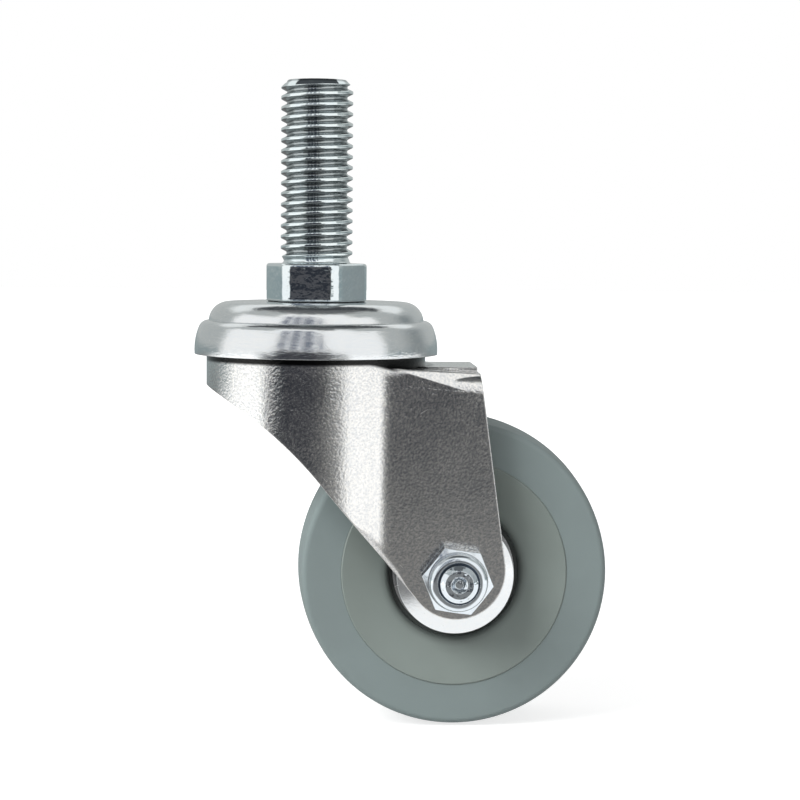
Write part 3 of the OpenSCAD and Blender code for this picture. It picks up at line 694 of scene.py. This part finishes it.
def steps(start, end):
    """Even steps of about the tent's step from start to end, in degrees."""
    count = max(2, round(abs(end - start) / TENT_STEP))
    return [start + (end - start) * i / count for i in range(count + 1)]


def toward(azimuth, elevation):
    """Direction from the castor: azimuth 0 looks to the camera and grows to the right, both in degrees."""
    a, e = math.radians(azimuth), math.radians(elevation)
    return Vector((math.sin(a) * math.cos(e), -math.cos(a) * math.cos(e), math.sin(e)))


def stage_paint(name):
    """Material whose shader is still to come, with its tree and its Object coordinates."""
    made = bpy.data.materials.new(name)
    made.use_nodes = True
    tree = made.node_tree
    tree.nodes.remove(tree.nodes["Principled BSDF"])
    return made, tree, put(tree, "ShaderNodeTexCoord").outputs["Object"]


def direction(tree, place):
    """Parts of the unit vector from the tent's centre to a place."""
    way = put(tree, "ShaderNodeVectorMath", {0: place, 1: TENT_CENTRE}, operation="SUBTRACT").outputs[0]
    unit = put(tree, "ShaderNodeVectorMath", {0: way}, operation="NORMALIZE").outputs[0]
    return put(tree, "ShaderNodeSeparateXYZ", {0: unit}).outputs


def azimuth_of(tree, part):
    """Azimuth of a direction in degrees."""
    turn = sum_of(tree, "ARCTAN2", part["X"], sum_of(tree, "MULTIPLY", part["Y"], -1))
    return sum_of(tree, "DEGREES", turn)


def soft_span(tree, value, span, soft):
    """1 inside a span of a value, with a smooth fall to 0 across each end."""
    rise = ramp(tree, value, span[0] - soft, span[0] + soft)
    fall = ramp(tree, value, span[1] + soft, span[1] - soft)
    return sum_of(tree, "MULTIPLY", rise, fall)


def flag_tone(tree, azimuth, dim):
    """Tone of the dark flag or mat, with some light spilling in from the right."""
    return two_tone(tree, soft_span(tree, azimuth, SPILL_SPAN, SPILL_SOFT), FLAG_DARK, dim)


tent_paint, tent_tree, tent_place = stage_paint("tent_paint")
tent_way = direction(tent_tree, tent_place)
tent_azimuth = azimuth_of(tent_tree, tent_way)
tent_elevation = sum_of(tent_tree, "DEGREES", sum_of(tent_tree, "ARCSINE", tent_way["Z"]))
flag = flag_tone(tent_tree, tent_azimuth, FLAG_DIM)
# Each hanging: its azimuths and how soft they end, its elevations and how soft they end, and its tone.
HANGINGS = (
    (ALL_ROUND, 1.0, (2.0, 200.0), 3.0, WALL_GREY),
    ((98.0, 124.0), 14.0, (DOWN, 25.0), 8.0, WALL_DOOR),
    ((112.0, 200.0), 4.0, (34.0, 56.0), 4.0, WALL_PANEL),
    ((-200.0, -112.0), 4.0, (34.0, 56.0), 4.0, WALL_PANEL),
    (ALL_ROUND, 1.0, (63.0, 200.0), 5.0, CEILING),
    ((105.0, 200.0), 6.0, (52.5, 200.0), 1.5, BACK_CEILING),
    ((-200.0, -105.0), 6.0, (52.5, 200.0), 1.5, BACK_CEILING),
    ((-50.0, 42.0), 8.0, (4.0, 58.0), 4.0, WHITE),
    ((-37.0, -30.0), 1.5, (7.0, 44.0), 3.0, WINDOW_POST),
    ((-26.0, -18.0), 1.5, (7.0, 46.0), 3.0, WINDOW_POST),
    ((-14.0, -4.0), 1.5, (7.0, 44.0), 3.0, WINDOW_POST),
    ((0.5, 5.0), 1.0, (8.0, 36.0), 3.0, WINDOW_POST),
    ((-98.0, -57.0), 9.0, (DOWN, 36.0), 6.0, SIDE_BOX),
    ((-98.0, -41.0), 3.0, (-2.0, 36.0), 1.0, WHITE),
    ((26.5, 66.0), 6.0, (DOWN, 36.0), 6.0, WHITE),
    ((13.0, 66.0), 3.0, (-1.0, 36.0), 1.0, WHITE),
    (FLAG_SPAN, FLAG_SOFT, (DOWN, -2.0), 1.0, flag),
    ((-38.0, 12.0), 3.0, (-3.0, 5.0), 2.0, flag),
    ((-38.0, 10.0), 3.0, (-2.4, 0.2), 0.6, FLAG_HAZE),
)
tent_tone = WALL_TEAL
for azimuth_span, azimuth_soft, elevation_span, elevation_soft, tone in HANGINGS:
    hung = sum_of(tent_tree, "MULTIPLY", soft_span(tent_tree, tent_azimuth, azimuth_span, azimuth_soft),
                  soft_span(tent_tree, tent_elevation, elevation_span, elevation_soft))
    tent_tone = two_tone(tent_tree, hung, tent_tone, tone)
tent_light = put(tent_tree, "ShaderNodeEmission", {"Color": tent_tone, "Strength": TENT_LIGHT})
tent_tree.links.new(tent_light.outputs[0], tent_tree.nodes["Material Output"].inputs["Surface"])
for_gloss_only(stage_mesh("tent", [[TENT_CENTRE + TENT_R * toward(a, e) for a in steps(-180.0, 180.0)]
                                   for e in steps(TENT_LOW, 90.0)], tent_paint))

floor_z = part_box("tyre")[0].z
mat_paint, mat_tree, mat_place = stage_paint("mat_paint")
mat_azimuth = azimuth_of(mat_tree, direction(mat_tree, mat_place))
mat_from = put(mat_tree, "ShaderNodeVectorMath", {0: mat_place, 1: (0.0, 0.0, floor_z)},
               operation="DISTANCE").outputs["Value"]
mat_start = ramp(mat_tree, mat_from, *MAT_FADE)
in_front = soft_span(mat_tree, mat_azimuth, FLAG_SPAN, FLAG_SOFT)
behind = ramp(mat_tree, sum_of(mat_tree, "ABSOLUTE", mat_azimuth), *MAT_BEHIND)
laid = sum_of(mat_tree, "MULTIPLY", sum_of(mat_tree, "MAXIMUM", in_front, behind), mat_start)
far_out = sum_of(mat_tree, "MULTIPLY", in_front, ramp(mat_tree, mat_from, *MAT_NEAR))
mat_tone = two_tone(mat_tree, far_out, MAT_DIM, flag_tone(mat_tree, mat_azimuth, MAT_DIM))
mat_light = put(mat_tree, "ShaderNodeEmission", {"Color": mat_tone, "Strength": TENT_LIGHT})
mat_gap = put(mat_tree, "ShaderNodeBsdfTransparent")
mat_mix = put(mat_tree, "ShaderNodeMixShader", {0: laid, 1: mat_gap.outputs[0], 2: mat_light.outputs[0]})
mat_tree.links.new(mat_mix.outputs[0], mat_tree.nodes["Material Output"].inputs["Surface"])
for_gloss_only(stage_mesh("floor_mat", [[Vector((0.0, 0.0, floor_z + MAT_LIFT)) + r * toward(a, 0)
                                         for a in steps(-180.0, 180.0)]
                                        for r in (MAT_FADE[0], TENT_R)], mat_paint))
FLOOR_TONE = (0.5, 0.5, 0.5, 1.0)
FLOOR_ROUGH = 0.9
FLOOR_MIDDLE_X = 0.02
FLOOR_LIFT = (0.74, 1.0)
FLOOR_FADE = (0.1, 0.45)
floor_paint, floor_tree, floor_shader, floor_place = new_material("floor_paint")
floor_shader.inputs["Base Color"].default_value = FLOOR_TONE
floor_shader.inputs["Roughness"].default_value = FLOOR_ROUGH
floor_shader.inputs["Emission Color"].default_value = WHITE


def seen_directly(tree):
    """1 for rays from the camera, from gloss and through glass."""
    path = put(tree, "ShaderNodeLightPath").outputs
    shown = sum_of(tree, "MAXIMUM", path["Is Camera Ray"], path["Is Glossy Ray"])
    return sum_of(tree, "MAXIMUM", shown, path["Is Transmission Ray"])


away = put(floor_tree, "ShaderNodeVectorMath", {0: floor_place, 1: (FLOOR_MIDDLE_X, 0.0, floor_z)},
           operation="DISTANCE").outputs["Value"]
fade = ramp(floor_tree, away, *FLOOR_FADE, *FLOOR_LIFT)
lift = sum_of(floor_tree, "MULTIPLY", seen_directly(floor_tree), fade)
floor_tree.links.new(lift, floor_shader.inputs["Emission Strength"])
floor_rows = [[Vector((x, y, floor_z)) for x in (-FLOOR_R, FLOOR_R)] for y in (-FLOOR_R, FLOOR_R)]
stage_mesh("floor", floor_rows, floor_paint)

world = bpy.data.worlds.new("studio")
bpy.context.scene.world = world
world.use_nodes = True
world_tree = world.node_tree
WORLD_FILL = 0.5
fill = put(world_tree, "ShaderNodeBackground", {"Color": WHITE, "Strength": WORLD_FILL})
backdrop = put(world_tree, "ShaderNodeBackground", {"Color": WHITE, "Strength": 1.0})
sky = put(world_tree, "ShaderNodeMixShader", {0: seen_directly(world_tree), 1: fill.outputs[0],
                                              2: backdrop.outputs[0]})
world_tree.links.new(sky.outputs[0], world_tree.nodes["World Output"].inputs["Surface"])

KEY_PLACE = Vector((-0.5, -0.4, 0.45))
KEY_SIZE = 0.45
KEY_POWER = 6.0
key_data = bpy.data.lights.new("key", "AREA")
key_data.size = KEY_SIZE
key_data.energy = KEY_POWER
key = bpy.data.objects.new("key", key_data)
key.location = KEY_PLACE
key.rotation_mode = "QUATERNION"
key.rotation_quaternion = (TENT_CENTRE - KEY_PLACE).to_track_quat("-Z", "Y")
key.visible_glossy = False
bpy.context.scene.collection.objects.link(key)

# Camera
# Just above the collar and a little over a third of a metre away, looking slightly down and to the right,
# with a trace of roll, as the photo was taken.
CAMERA_PLACE = Vector((-2.40, -362.91, 4.20)) * MM
CAMERA_YAW = math.radians(2.583)
CAMERA_PITCH = math.radians(4.215)
CAMERA_ROLL = math.radians(0.426)
CAMERA_LENS = 98.59
CAMERA_NEAR = 0.01
camera_data = bpy.data.cameras.new("camera")
camera_data.lens = CAMERA_LENS
camera_data.clip_start = CAMERA_NEAR
camera = bpy.data.objects.new("camera", camera_data)
turned = Matrix.Rotation(-CAMERA_YAW, 4, "Z") @ Matrix.Rotation(math.radians(90) - CAMERA_PITCH, 4, "X")
camera.matrix_world = Matrix.Translation(CAMERA_PLACE) @ turned @ Matrix.Rotation(CAMERA_ROLL, 4, "Z")
bpy.context.scene.collection.objects.link(camera)
bpy.context.scene.camera = camera
bpy.context.scene.view_settings.view_transform = "Standard"
